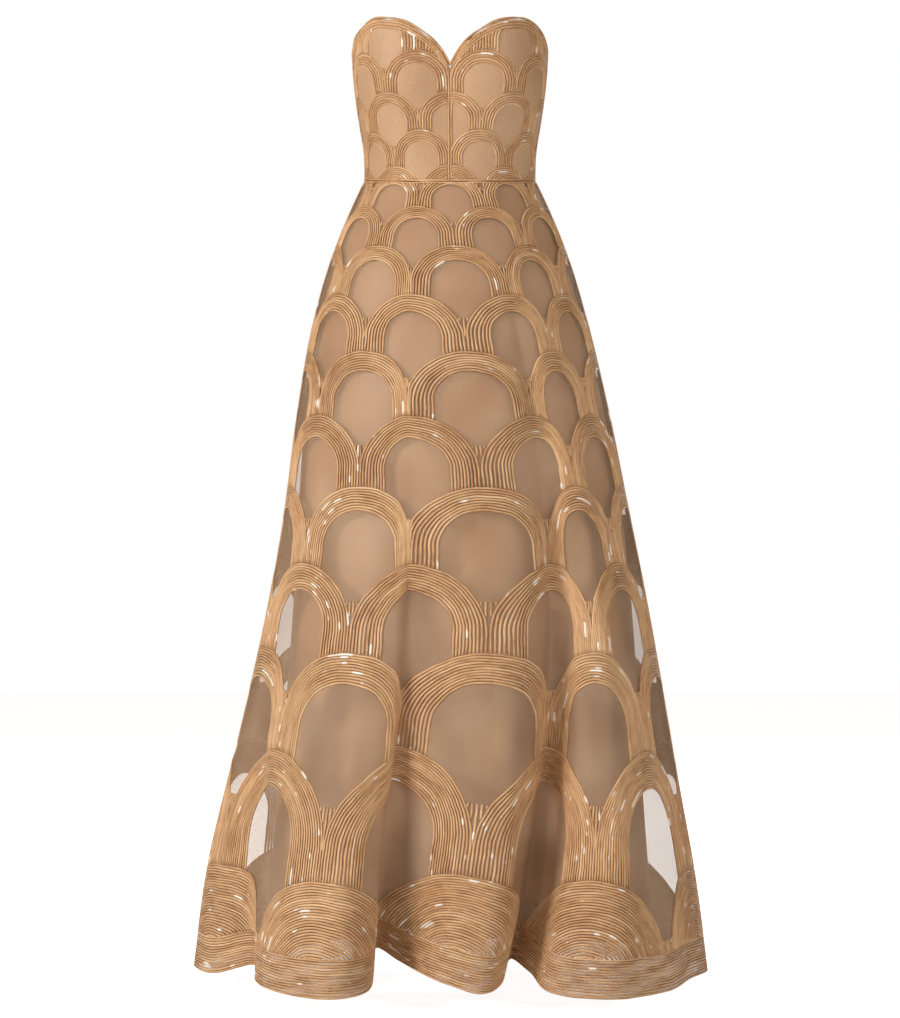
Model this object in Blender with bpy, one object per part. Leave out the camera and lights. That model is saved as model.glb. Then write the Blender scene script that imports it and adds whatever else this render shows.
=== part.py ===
"""Strapless gown: corded bustier bodice over a full net skirt with a narrower lining.

Metres, +Z up, the wearer's front faces -Y and the middle of the waistline is the origin.
A place on the cloth is given by a turn round the body (0 centre front, 0.25 the side at +X)
and by how far down the skirt or how high on the bodice it lies.
"""
import bpy
import bmesh
import numpy as np
from mathutils.geometry import delaunay_2d_cdt

# Named sizes
SEAM_GAP = 0.0003
SKIRT_LENGTH = 1.077
SKIRT_WALL = 0.0013
BODICE_WALL = 0.0014
CORD_RISE = 0.0015
LINING_WALL = 0.0010
LINING_LENGTH = 0.988
LINING_FOLLOW = 0.70
LINING_SHIFT = 0.016
SKIRT_SWAY = 0.0105
SWAY_START = 0.12
SWAY_END = 0.92
HEM_BAND = 0.050
NECK_BAND = 0.012
WAIST_BAND = 0.0035
SEAM_BAND = 0.0030
SLOPE_WIDTH = 0.0016
SMALLEST_SHARE = 0.30
LEVEL_SEAM = 0.020
BORDER_HOLLOW = 0.001
WAIST_DIP = 0.010
WAIST_LEVEL = -0.003
NECK_CORD_RADIUS = 0.0024
WAIST_CORD_RADIUS = 0.0017
WAIST_CORD_RAISE = 0.0014
ZIP_HALF_WIDTH = 0.012
ZIP_WALL = 0.0010
ZIP_CLEARANCE = 0.0019
ZIP_HEIGHTS = (
    0.139, 0.120, 0.100, 0.078, 0.058, 0.038, 0.020,
    0.006, -0.006, -0.022, -0.045, -0.075, -0.115, -0.160,
)

# The shell pattern: columns round the gown, row pitch, ring sizes in columns
COLUMNS = 9
ROW_PITCH = 0.65
ROW_START = 0.36
OUTER_RING = 0.50
INNER_RING = 0.29
CUSP_HALF = 0.05

# drop below the waist, half width, front depth, back depth
SKIRT_SECTIONS = np.array([
    (0.000, 0.1135, 0.0900, 0.0880),
    (0.030, 0.1278, 0.1040, 0.1060),
    (0.071, 0.1455, 0.1210, 0.1280),
    (0.112, 0.1608, 0.1370, 0.1450),
    (0.194, 0.1845, 0.1620, 0.1710),
    (0.316, 0.2100, 0.1900, 0.1980),
    (0.440, 0.2305, 0.2130, 0.2210),
    (0.600, 0.2600, 0.2430, 0.2500),
    (0.800, 0.3005, 0.2800, 0.2870),
    (0.950, 0.3310, 0.3080, 0.3150),
    (1.077, 0.3475, 0.3300, 0.3350),
])

# drop below the waist, half width, front depth, back depth
LINING_SECTIONS = np.array([
    (0.000, 0.1115, 0.0880, 0.0828),
    (0.071, 0.1410, 0.1160, 0.1215),
    (0.194, 0.1785, 0.1560, 0.1640),
    (0.316, 0.2020, 0.1810, 0.1890),
    (0.440, 0.2180, 0.1970, 0.2050),
    (0.600, 0.2310, 0.2020, 0.2110),
    (0.760, 0.2420, 0.2020, 0.2120),
    (0.988, 0.2600, 0.1980, 0.2100),
])

# height above the waist, half width, front depth, back depth
BODICE_SECTIONS = np.array([
    (-0.020, 0.1135, 0.0895, 0.0880),
    (0.000, 0.1137, 0.0905, 0.0880),
    (0.035, 0.1150, 0.0940, 0.0885),
    (0.070, 0.1203, 0.0990, 0.0910),
    (0.100, 0.1246, 0.1035, 0.0940),
    (0.140, 0.1288, 0.1070, 0.0975),
    (0.175, 0.1308, 0.1060, 0.1000),
    (0.230, 0.1310, 0.1010, 0.1010),
])

# turn from the centre front, height of the neckline above the waist
NECKLINE = np.array([
    (0.000, 0.1372),
    (0.007, 0.1470),
    (0.020, 0.1635),
    (0.032, 0.1750),
    (0.045, 0.1840),
    (0.058, 0.1905),
    (0.071, 0.1965),
    (0.085, 0.2005),
    (0.099, 0.2030),
    (0.115, 0.2045),
    (0.133, 0.2040),
    (0.153, 0.1995),
    (0.182, 0.1895),
    (0.217, 0.1775),
    (0.250, 0.1640),
    (0.300, 0.1530),
    (0.400, 0.1460),
    (0.500, 0.1440),
])

# turn, height, bulge outward, reach in turns, reach up, reach down
CUPS = np.array([
    (0.118, 0.128, 0.0200, 0.058, 0.070, 0.052),
    (0.000, 0.135, -0.0050, 0.024, 0.060, 0.050),
])

# hem plan x, hem plan y, lift of the hem, where the fold starts down the skirt, lean sideways
HEM_FOLDS = np.array([
    (0.000, -0.300, 0.014, 0.30, 0.16),
    (0.034, -0.306, 0.004, 0.30, 0.19),
    (0.062, -0.262, 0.008, 0.25, 0.22),
    (0.080, -0.195, 0.036, 0.12, 0.23),
    (0.104, -0.225, 0.022, 0.12, 0.22),
    (0.128, -0.292, 0.004, 0.15, 0.18),
    (0.195, -0.332, 0.000, 0.20, 0.12),
    (0.270, -0.272, 0.000, 0.20, 0.05),
    (0.318, -0.150, 0.004, 0.20, 0.00),
    (0.347, -0.030, 0.000, 0.20, 0.00),
    (0.328, 0.075, 0.004, 0.20, 0.00),
    (0.250, 0.118, 0.022, 0.25, 0.00),
    (0.262, 0.215, 0.006, 0.25, 0.00),
    (0.218, 0.296, 0.000, 0.30, 0.00),
    (0.150, 0.285, 0.010, 0.30, 0.00),
    (0.115, 0.208, 0.030, 0.22, 0.00),
    (0.082, 0.290, 0.006, 0.22, 0.00),
    (0.020, 0.335, 0.000, 0.30, 0.00),
    (-0.040, 0.280, 0.014, 0.30, 0.00),
    (-0.072, 0.205, 0.030, 0.20, 0.00),
    (-0.100, 0.275, 0.006, 0.20, 0.00),
    (-0.162, 0.322, 0.000, 0.30, 0.00),
    (-0.225, 0.260, 0.006, 0.30, 0.00),
    (-0.214, 0.178, 0.026, 0.24, 0.00),
    (-0.282, 0.158, 0.008, 0.24, 0.00),
    (-0.335, 0.070, 0.000, 0.20, 0.00),
    (-0.346, -0.010, 0.002, 0.20, 0.00),
    (-0.318, -0.066, 0.000, 0.35, 0.00),
    (-0.264, -0.102, 0.016, 0.40, 0.00),
    (-0.252, -0.190, 0.004, 0.40, 0.00),
    (-0.208, -0.285, 0.000, 0.35, 0.02),
    (-0.145, -0.330, 0.000, 0.30, 0.05),
    (-0.106, -0.285, 0.006, 0.30, 0.08),
    (-0.097, -0.205, 0.052, 0.30, 0.10),
    (-0.060, -0.232, 0.034, 0.30, 0.12),
])

# name, colour, roughness
FABRICS = {
    "corded_net": ((0.56, 0.37, 0.22), 0.55),
    "bodice_cloth": ((0.53, 0.33, 0.19), 0.55),
    "lining_cloth": ((0.45, 0.27, 0.15), 0.45),
    "cord": ((0.62, 0.42, 0.25), 0.40),
    "zip_tape": ((0.48, 0.30, 0.18), 0.60),
}


def smooth_column(rows, column, value):
    """A smooth curve through one column of a table, read at the given values."""
    knots = rows[:, 0]
    levels = rows[:, column]
    slopes = np.gradient(levels, knots)
    value = np.clip(value, knots[0], knots[-1])
    low = np.clip(np.searchsorted(knots, value) - 1, 0, len(knots) - 2)
    span = knots[low + 1] - knots[low]
    s = (value - knots[low]) / span
    start = (1 + 2 * s) * (1 - s) ** 2 * levels[low] + s * (1 - s) ** 2 * span * slopes[low]
    finish = s * s * (3 - 2 * s) * levels[low + 1] + s * s * (s - 1) * span * slopes[low + 1]
    return start + finish


def closed_curve(rows, steps=40):
    """A smooth closed curve through the rows, each column carried along."""
    chord = np.linalg.norm(np.roll(rows, -1, axis=0)[:, :2] - rows[:, :2], axis=1)
    before = np.roll(chord, 1)
    slope_in = (rows - np.roll(rows, 1, axis=0)) / before[:, None]
    slope_out = (np.roll(rows, -1, axis=0) - rows) / chord[:, None]
    slope = (slope_in * chord[:, None] + slope_out * before[:, None]) / (before + chord)[:, None]
    s = np.linspace(0, 1, steps, endpoint=False)[:, None]
    pieces = []
    for index in range(len(rows)):
        after = (index + 1) % len(rows)
        span = chord[index]
        piece = (1 + 2 * s) * (1 - s) ** 2 * rows[index]
        piece = piece + s * (1 - s) ** 2 * span * slope[index]
        piece = piece + s * s * (3 - 2 * s) * rows[after]
        piece = piece + s * s * (s - 1) * span * slope[after]
        pieces.append(piece)
    return np.vstack(pieces + [rows[:1]])


def fold_table(rows, sections, samples=1440):
    """The folds at even steps along the hem: angle, reach, lift, start and lean."""
    line = closed_curve(rows)
    steps = np.linalg.norm(np.diff(line[:, :2], axis=0), axis=1)
    along = np.concatenate([[0.0], np.cumsum(steps)])
    places = np.linspace(0, along[-1], samples + 1)
    line = np.stack([np.interp(places, along, column) for column in line.T], axis=1)
    depth = np.where(line[:, 1] < 0, sections[-1, 2], sections[-1, 3])
    across = line[:, 0] / sections[-1, 1]
    forward = -line[:, 1] / depth
    return {
        "turns": np.linspace(0, 1, samples + 1),
        "angle": np.unwrap(np.arctan2(across, forward)),
        "reach": np.hypot(across, forward),
        "lift": line[:, 2],
        "start": line[:, 3],
        "lean": line[:, 4],
    }


FOLDS = fold_table(HEM_FOLDS, SKIRT_SECTIONS)


def fold_value(name, turn):
    return np.interp(np.mod(turn, 1.0), FOLDS["turns"], FOLDS[name])


def waist_height(turn):
    return WAIST_LEVEL - WAIST_DIP * np.cos(2 * np.pi * turn)


def skirt_surface(turn, down, sections, follow=1.0, shift=0.0):
    """Points of a skirt layer: down is 0 at the waist and 1 at the outer hem."""
    turn, down = np.broadcast_arrays(np.asarray(turn, float), np.asarray(down, float))
    plain = 2 * np.pi * np.mod(turn, 1.0)
    angle = plain + (fold_value("angle", turn) - plain) * down ** 1.1
    angle = angle + fold_value("lean", turn) * 4 * down * (1 - down)
    start = fold_value("start", turn)
    grown = np.clip((down - start) / (1 - start), 0, 1) ** 1.25
    reach = 1 + (fold_value("reach", turn) - 1) * grown * follow
    drop = down * SKIRT_LENGTH
    half = smooth_column(sections, 1, drop)
    front = smooth_column(sections, 2, drop)
    back = smooth_column(sections, 3, drop)
    ahead = np.cos(angle)
    deep = np.where(ahead > 0, front, back)
    swayed = np.clip((down - SWAY_START) / (SWAY_END - SWAY_START), 0, 1)
    x = reach * half * np.sin(angle) + shift * down ** 1.5
    x = x + SKIRT_SWAY * np.sin(np.pi * swayed) ** 2
    y = -reach * deep * ahead
    z = waist_height(turn) * (1 - down) - drop
    z = z + fold_value("lift", turn) * down ** 4
    return np.stack([x, y, z], axis=-1)


def skirt_point(turn, down):
    return skirt_surface(turn, down, SKIRT_SECTIONS)


def lining_point(turn, down):
    return skirt_surface(turn, down, LINING_SECTIONS, LINING_FOLLOW, LINING_SHIFT)


def side_turn(turn):
    """Turn counted from the centre front to either side, 0 to 0.5."""
    turn = np.mod(turn, 1.0)
    return np.minimum(turn, 1.0 - turn)


def neck_height(turn):
    return smooth_column(NECKLINE, 1, side_turn(turn))


def bodice_point(turn, height):
    """Points of the bodice at a height above the origin."""
    turn, height = np.broadcast_arrays(np.asarray(turn, float), np.asarray(height, float))
    angle = 2 * np.pi * turn
    half = smooth_column(BODICE_SECTIONS, 1, height)
    front = smooth_column(BODICE_SECTIONS, 2, height)
    back = smooth_column(BODICE_SECTIONS, 3, height)
    deep = np.where(np.cos(angle) > 0, front, back)
    bulge = np.zeros_like(height)
    aside = side_turn(turn)
    for place, level, rise, reach, reach_up, reach_down in CUPS:
        spread = np.where(height > level, reach_up, reach_down)
        across = ((aside - place) / reach) ** 2
        upward = ((height - level) / spread) ** 2
        bulge = bulge + rise * np.exp(-0.5 * (across + upward))
    x = (half + 0.45 * bulge) * np.sin(angle)
    y = -(deep + bulge) * np.cos(angle)
    return np.stack([x, y, height], axis=-1)


def level_map(point, low, high, sign):
    """Levels of a tube and the matching pattern rows, so that shells keep their shape."""
    levels = np.linspace(low, high, 121)
    turns = np.linspace(0, 1, 721)
    grid = point(turns[None, :], levels[:, None])
    girth = np.linalg.norm(np.diff(grid, axis=1), axis=2).sum(axis=1)
    length = np.linalg.norm(np.diff(grid, axis=0), axis=2).mean(axis=1)
    middle = (girth[1:] + girth[:-1]) / 2
    row = sign * np.concatenate([[0.0], np.cumsum(length * COLUMNS / middle)])
    return {"level": levels, "row": row, "girth": girth}


SKIRT_MAP = level_map(skirt_point, 0.0, 1.0, 1.0)
BODICE_MAP = level_map(bodice_point, -0.015, 0.225, -1.0)
BODICE_MAP["row"] = BODICE_MAP["row"] - np.interp(0.0, BODICE_MAP["level"], BODICE_MAP["row"])


def row_of(table, level):
    return np.interp(level, table["level"], table["row"])


def level_of(table, row):
    order = np.argsort(table["row"])
    return np.interp(row, table["row"][order], table["level"][order])


def cell_size(table, row):
    """Metres to one column of the pattern at a row."""
    order = np.argsort(table["row"])
    return np.interp(row, table["row"][order], table["girth"][order]) / COLUMNS


def window_outline(column, row, count=48):
    """One bare window of the shell pattern: round above, drawn in between the two shells below."""
    arch = np.linspace(0, np.pi, count // 2)
    top_x = INNER_RING * np.cos(arch)
    top_y = -INNER_RING * np.sin(arch)
    first = np.arccos((OUTER_RING - INNER_RING) / OUTER_RING)
    last = np.arccos((OUTER_RING - CUSP_HALF) / OUTER_RING)
    swing = np.linspace(first, last, count // 4)
    left_x = -OUTER_RING + OUTER_RING * np.cos(swing)
    left_y = ROW_PITCH - OUTER_RING * np.sin(swing)
    x = np.concatenate([top_x, left_x, -left_x[::-1]])
    y = np.concatenate([top_y, left_y, left_y[::-1]])
    return np.stack([column + x, row + y], axis=1)


def clip_outline(outline, inside):
    """Keeps the part of a closed outline where the signed distance is positive."""
    kept = []
    for here, there in zip(outline, np.roll(outline, -1, axis=0)):
        d_here = inside(here)
        d_there = inside(there)
        if d_here >= 0:
            kept.append(here)
        if (d_here >= 0) != (d_there >= 0):
            kept.append(here + (there - here) * d_here / (d_here - d_there))
    return np.array(kept) if len(kept) > 2 else None


def fill_outline(outline, longest=0.02):
    """Adds places along the long straight runs of a closed outline."""
    filled = []
    for here, there in zip(outline, np.roll(outline, -1, axis=0)):
        count = max(1, int(np.ceil(np.linalg.norm(there - here) / longest)))
        for step in range(count):
            filled.append(here + (there - here) * step / count)
    return np.array(filled)


def thin_line(places, points, limit, closed):
    """Drops the places of a line that its folded shape does not need."""
    count = len(places)
    if closed:
        middle = int(np.argmax(np.linalg.norm(points - points[0], axis=1)))
        spans = [(0, middle), (middle, count)]
    else:
        spans = [(0, count - 1)]
    keep = {spans[0][0]}
    while spans:
        low, high = spans.pop()
        keep.add(low)
        keep.add(high % count)
        if high - low < 2:
            continue
        start = points[low]
        step = points[high % count] - start
        inner = points[low + 1:high] - start
        share = np.clip(inner @ step / max(step @ step, 1e-12), 0, 1)
        off = np.linalg.norm(inner - share[:, None] * step, axis=1)
        worst = int(np.argmax(off))
        if off[worst] > limit:
            spans.append((low, low + 1 + worst))
            spans.append((low + 1 + worst, high))
    return places[sorted(keep)]


def inset_outline(outline, distance):
    """The outline drawn in toward its middle."""
    x, y = outline[:, 0], outline[:, 1]
    cross = x * np.roll(y, -1) - np.roll(x, -1) * y
    middle = np.array([np.sum((x + np.roll(x, -1)) * cross), np.sum((y + np.roll(y, -1)) * cross)])
    middle = middle / (3 * np.sum(cross))
    spoke = outline - middle
    reach = np.linalg.norm(spoke, axis=1)
    share = np.clip(1 - distance / reach, 0.35, 1.0)
    return middle + spoke * share[:, None]


def outline_room(outline):
    x, y = outline[:, 0], outline[:, 1]
    return abs(0.5 * np.sum(x * np.roll(y, -1) - np.roll(x, -1) * y))


def triangulate(places, edges, stretch):
    flat = [(float(a) * stretch, float(b)) for a, b in places]
    result = delaunay_2d_cdt(flat, edges, [], 1, 1e-7)
    verts, faces = result[0], result[2]
    if len(verts) != len(places):
        raise ValueError("the pattern lines cross")
    return np.array([tuple(face) for face in faces])


def surface_normals(point, turn, level, step_level):
    """Outward directions of a tube at the given places."""
    along = point(turn + 1e-4, level) - point(turn - 1e-4, level)
    down = point(turn, level + step_level) - point(turn, level - step_level)
    normal = np.cross(along, down)
    normal = normal / np.linalg.norm(normal, axis=1)[:, None]
    outward = np.sum(normal[:, :2] * point(turn, level)[:, :2], axis=1)
    return normal * np.where(np.median(outward) > 0, 1.0, -1.0)


def lay_points(panel, places, rise):
    """Pattern places laid on the panel's surface and moved outward by rise."""
    turn = places[:, 0] / COLUMNS
    level = level_of(panel["map"], places[:, 1])
    low = panel["map"]["level"].min() + 2e-4
    high = panel["map"]["level"].max() - 2e-4
    normals = surface_normals(panel["point"], turn, np.clip(level, low, high), 1e-4)
    waist_row = row_of(panel["map"], panel["waist"](turn))
    from_waist = np.abs(places[:, 1] - waist_row) * cell_size(panel["map"], places[:, 1])
    normals[:, 2] = normals[:, 2] * np.clip(from_waist / LEVEL_SEAM, 0, 1)
    surface = panel["point"](turn, level)
    normals[:, 0] = normals[:, 0] * np.clip(np.abs(surface[:, 0]) / panel["crease"], 0, 1)
    normals = normals / np.linalg.norm(normals, axis=1)[:, None]
    return surface + normals * np.broadcast_to(rise, turn.shape)[:, None]


def hollow_line(line, middle):
    """A straight border line drawn a hair inward, so that no facet lies along it."""
    share = np.linspace(0, 1, len(line))
    inward = middle - line.mean(axis=0)
    inward = inward / np.linalg.norm(inward)
    return line + inward * (BORDER_HOLLOW * 4 * share * (1 - share))[:, None]


def side_line(column, rows):
    return np.stack([np.full(len(rows), column), rows], axis=1)


def panel_border(panel, limit):
    """The closed border of a panel, with only the places its shape needs."""
    left, right = panel["columns"]
    across = np.linspace(left, right, 181)
    top = np.stack([across, panel["top"](across / COLUMNS)], axis=1)
    foot = np.stack([across[::-1], panel["foot"](across[::-1] / COLUMNS)], axis=1)
    right_rows = np.linspace(top[-1, 1], foot[0, 1], 61)
    left_rows = np.linspace(foot[-1, 1], top[0, 1], 61)
    sides = [
        (top, panel["top_limit"]),
        (side_line(right, right_rows), limit),
        (foot, panel["foot_limit"]),
        (side_line(left, left_rows), limit),
    ]
    middle = (top.mean(axis=0) + foot.mean(axis=0)) / 2
    border = []
    for line, room in sides:
        line = hollow_line(line, middle)
        thinned = thin_line(line, lay_points(panel, line, 0.0), room, False)
        border.append(thinned[:-1])
    return np.vstack(border)


def has_clear_floor(outline, cell):
    """True where the outline and its drawn-in copy keep clear of each other."""
    loops = np.vstack([inset_outline(outline, SLOPE_WIDTH / cell), outline])
    count = len(outline)
    edges = loop_edges(0, count) + loop_edges(count, count)
    flat = [(float(a), float(b)) for a, b in loops]
    return len(delaunay_2d_cdt(flat, edges, [], 1, 1e-7)[0]) == len(loops)


def panel_windows(panel, limit):
    """The bare windows of a panel, cut off at its seams, its waist and its bands."""
    left, right = panel["columns"]
    table = panel["map"]
    windows = []
    for step in range(-9, 12):
        row = ROW_START + ROW_PITCH * step
        if not (min(panel["rows"]) - 0.7 < row < max(panel["rows"]) + 0.7):
            continue
        for column in np.arange(-6, 12) + 0.5 * (step % 2):
            if not (left - 0.5 < column < right + 0.5):
                continue
            outline = window_outline(column, row)
            whole = outline_room(outline)
            for inside in panel["keep"]:
                if outline is not None:
                    outline = clip_outline(outline, inside)
            if outline is None:
                continue
            if outline_room(outline) < SMALLEST_SHARE * whole:
                continue
            cell = cell_size(table, row)
            gaps = np.linalg.norm(outline - np.roll(outline, 1, axis=0), axis=1)
            outline = fill_outline(outline[gaps * cell > 0.0006])
            laid = lay_points(panel, outline, 0.0)
            outline = thin_line(outline, laid, limit, True)
            if len(outline) > 4 and has_clear_floor(outline, cell):
                windows.append(outline)
    return windows


def loop_edges(first, count):
    return [(first + k, first + (k + 1) % count) for k in range(count)]


def points_in_outline(points, outline):
    x, y = points[:, 0], points[:, 1]
    inside = np.zeros(len(points), bool)
    for (ax, ay), (bx, by) in zip(outline, np.roll(outline, -1, axis=0)):
        crosses = (ay > y) != (by > y)
        if ay != by:
            cut = ax + (y - ay) / (by - ay) * (bx - ax)
            inside ^= crosses & (x < cut)
    return inside


def edge_distance(points, places, edges):
    """Distance from each point to the nearest fixed edge of the pattern."""
    one = places[[edge[0] for edge in edges]]
    two = places[[edge[1] for edge in edges]]
    step = two - one
    size = np.maximum(np.sum(step * step, axis=1), 1e-12)
    nearest = np.empty(len(points))
    for index, point in enumerate(points):
        share = np.clip(np.sum((point - one) * step, axis=1) / size, 0, 1)
        nearest[index] = np.linalg.norm(one + share[:, None] * step - point, axis=1).min()
    return nearest


def wall_panel(name, panel, fabric):
    """A closed wall: a plain inner face and an outer face with the corded bands raised."""
    border = panel_border(panel, panel["limit"])
    windows = panel_windows(panel, panel["limit"])
    places = [border]
    kinds = [np.zeros(len(border), int)]
    edges = loop_edges(0, len(border))
    total = len(border)
    floors = []
    for outline in windows:
        cell = cell_size(panel["map"], outline[:, 1])
        floor = inset_outline(outline, SLOPE_WIDTH / cell)
        floors.append(floor)
        for loop, kind in ((floor, 1), (outline, 2)):
            places.append(loop)
            kinds.append(np.full(len(loop), kind))
            edges += loop_edges(total, len(loop))
            total += len(loop)
    places = np.vstack(places)
    kinds = np.concatenate(kinds)
    stretch = panel["stretch"]
    for _ in range(panel["rounds"]):
        faces = triangulate(places, edges, stretch)
        corners = lay_points(panel, places, 0.0)
        fresh = []
        used = np.zeros(len(places), bool)
        pairs = np.vstack([faces[:, [0, 1]], faces[:, [1, 2]], faces[:, [2, 0]]])
        pairs = np.unique(np.sort(pairs, axis=1), axis=0)
        fixed = {tuple(sorted(edge)) for edge in edges}
        middles = (places[pairs[:, 0]] + places[pairs[:, 1]]) / 2
        chord = (corners[pairs[:, 0]] + corners[pairs[:, 1]]) / 2
        run = corners[pairs[:, 1]] - corners[pairs[:, 0]]
        run = run / np.linalg.norm(run, axis=1)[:, None]
        off = np.linalg.norm(np.cross(lay_points(panel, middles, 0.0) - chord, run), axis=1)
        for index in np.argsort(-off):
            one, two = int(pairs[index, 0]), int(pairs[index, 1])
            if off[index] < panel["bend"]:
                break
            if (one, two) in fixed or used[one] or used[two]:
                continue
            used[one] = True
            used[two] = True
            fresh.append(middles[index])
        if not fresh:
            break
        fresh = np.array(fresh)
        room = edge_distance(fresh, places, edges) * cell_size(panel["map"], fresh[:, 1])
        fresh = fresh[room > SLOPE_WIDTH]
        if not len(fresh):
            break
        in_window = np.zeros(len(fresh), bool)
        in_slope = np.zeros(len(fresh), bool)
        for outline, floor in zip(windows, floors):
            inside = points_in_outline(fresh, outline)
            deep = points_in_outline(fresh, floor)
            in_window |= deep
            in_slope |= inside & ~deep
        keep = ~in_slope
        places = np.vstack([places, fresh[keep]])
        kinds = np.concatenate([kinds, np.where(in_window, 3, 4)[keep]])
    raised = np.isin(kinds, (0, 2, 4))
    outer_faces = triangulate(places, edges, stretch)
    inner_keep = np.flatnonzero(kinds != 2)
    renumber = {int(old): new for new, old in enumerate(inner_keep)}
    inner_edges = [(renumber[a], renumber[b]) for a, b in edges if a in renumber and b in renumber]
    inner_faces = triangulate(places[inner_keep], inner_edges, stretch)
    outer = lay_points(panel, places, np.where(raised, panel["wall"] + CORD_RISE, panel["wall"]))
    inner = lay_points(panel, places[inner_keep], 0.0)
    points = np.vstack([outer, inner])
    base = len(outer)
    faces = [tuple(int(v) for v in face) for face in outer_faces]
    faces += [tuple(int(v) + base for v in face[::-1]) for face in inner_faces]
    count = len(border)
    for k in range(count):
        after = (k + 1) % count
        faces.append((after, k, base + k))
        faces.append((after, base + k, base + after))
    return make_object(name, points, faces, fabric)


def sheet_panel(name, point, turns, levels, wall, fabric):
    """A closed plain wall over a grid of turns and levels."""
    grid_turn, grid_level = np.meshgrid(turns, levels)
    flat_turn = grid_turn.ravel()
    flat_level = grid_level.ravel()
    normals = surface_normals(point, flat_turn, flat_level, 1e-4)
    inner = point(flat_turn, flat_level)
    points = np.vstack([inner + normals * wall, inner])
    rows, cols = len(levels), len(turns)
    base = rows * cols
    faces = []
    for r in range(rows - 1):
        for c in range(cols - 1):
            a = r * cols + c
            faces.append((a, a + cols, a + cols + 1, a + 1))
            faces.append((base + a, base + a + 1, base + a + cols + 1, base + a + cols))
    rim = [c for c in range(cols)]
    rim += [r * cols + cols - 1 for r in range(1, rows)]
    rim += [(rows - 1) * cols + c for c in range(cols - 2, -1, -1)]
    rim += [r * cols for r in range(rows - 2, 0, -1)]
    for here, there in zip(rim, rim[1:] + rim[:1]):
        faces.append((here, there, base + there, base + here))
    return make_object(name, points, faces, fabric)


def ring_tube(name, centres, normals, radius, sides, fabric):
    """A closed cord along a ring of centres."""
    count = len(centres)
    ahead = np.roll(centres, -1, axis=0) - np.roll(centres, 1, axis=0)
    ahead = ahead / np.linalg.norm(ahead, axis=1)[:, None]
    across = np.cross(ahead, normals)
    across = across / np.linalg.norm(across, axis=1)[:, None]
    out = np.cross(across, ahead)
    points = []
    for index in range(sides):
        turn = 2 * np.pi * (index + 0.5) / sides
        points.append(centres + radius * (np.cos(turn) * out + np.sin(turn) * across))
    points = np.stack(points, axis=1).reshape(-1, 3)
    faces = []
    for k in range(count):
        after = (k + 1) % count
        for s in range(sides):
            t = (s + 1) % sides
            faces.append((k * sides + s, k * sides + t, after * sides + t, after * sides + s))
    return make_object(name, points, faces, fabric)


def make_object(name, points, faces, fabric):
    mesh = bpy.data.meshes.new(name)
    mesh.from_pydata([tuple(map(float, point)) for point in points], [], faces)
    work = bmesh.new()
    work.from_mesh(mesh)
    bmesh.ops.triangulate(work, faces=work.faces)
    bmesh.ops.recalc_face_normals(work, faces=work.faces)
    work.normal_update()
    if work.calc_volume(signed=True) < 0:
        bmesh.ops.reverse_faces(work, faces=work.faces)
    for face in work.faces:
        face.smooth = True
    work.to_mesh(mesh)
    work.free()
    mesh.materials.append(fabric_material(name, fabric))
    part = bpy.data.objects.new(name, mesh)
    bpy.context.scene.collection.objects.link(part)
    return part


def fabric_material(name, fabric):
    colour, roughness = FABRICS[fabric]
    material = bpy.data.materials.new(name + "_" + fabric)
    material.use_nodes = True
    shader = material.node_tree.nodes["Principled BSDF"]
    shader.inputs["Base Color"].default_value = (*colour, 1.0)
    shader.inputs["Roughness"].default_value = roughness
    return material


def skirt_panel_plan(first, last):
    """A skirt panel between two turns, from just under the waist to the hem."""
    table = SKIRT_MAP
    waist_row = row_of(table, 0.0)
    hem_row = row_of(table, 1.0)
    left = first * COLUMNS
    right = last * COLUMNS
    hem_cell = cell_size(table, hem_row)
    waist_cell = cell_size(table, waist_row)
    band_row = hem_row - HEM_BAND / hem_cell

    def off_left(place):
        return place[0] - left - SEAM_BAND / cell_size(table, place[1])

    def off_right(place):
        return right - place[0] - SEAM_BAND / cell_size(table, place[1])

    def below_waist(place):
        return place[1] - waist_row - WAIST_BAND / waist_cell

    def above_band(place):
        return band_row - place[1]

    return {
        "map": table,
        "point": skirt_point,
        "waist": np.zeros_like,
        "crease": 1e-6,
        "columns": (left, right),
        "rows": (waist_row, hem_row),
        "top": lambda turn: np.full_like(turn, waist_row),
        "foot": lambda turn: np.full_like(turn, hem_row),
        "keep": (off_left, off_right, below_waist, above_band),
        "wall": SKIRT_WALL,
        "limit": 0.0017,
        "top_limit": 0.0005,
        "foot_limit": 0.0010,
        "bend": 0.0019,
        "stretch": 1.6,
        "rounds": 14,
    }


def bodice_panel_plan(first, last):
    """A bodice panel between two turns, from the waist seam up to the neckline."""
    table = BODICE_MAP
    left = first * COLUMNS
    right = last * COLUMNS

    def neck_row(turn):
        return row_of(table, neck_height(turn))

    def waist_row(turn):
        return row_of(table, waist_height(turn) + SEAM_GAP)

    def off_left(place):
        return place[0] - left - SEAM_BAND / cell_size(table, place[1])

    def off_right(place):
        return right - place[0] - SEAM_BAND / cell_size(table, place[1])

    def below_neck(place):
        return place[1] - neck_row(place[0] / COLUMNS) - NECK_BAND / cell_size(table, place[1])

    def above_waist(place):
        return waist_row(place[0] / COLUMNS) - place[1] - WAIST_BAND / cell_size(table, place[1])

    return {
        "map": table,
        "point": bodice_point,
        "waist": waist_height,
        "crease": 0.005,
        "columns": (left, right),
        "rows": (row_of(table, 0.225), row_of(table, -0.015)),
        "top": neck_row,
        "foot": waist_row,
        "keep": (off_left, off_right, below_neck, above_waist),
        "wall": BODICE_WALL,
        "limit": 0.0009,
        "top_limit": 0.0006,
        "foot_limit": 0.0005,
        "bend": 0.0010,
        "stretch": 1.0,
        "rounds": 8,
    }


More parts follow.
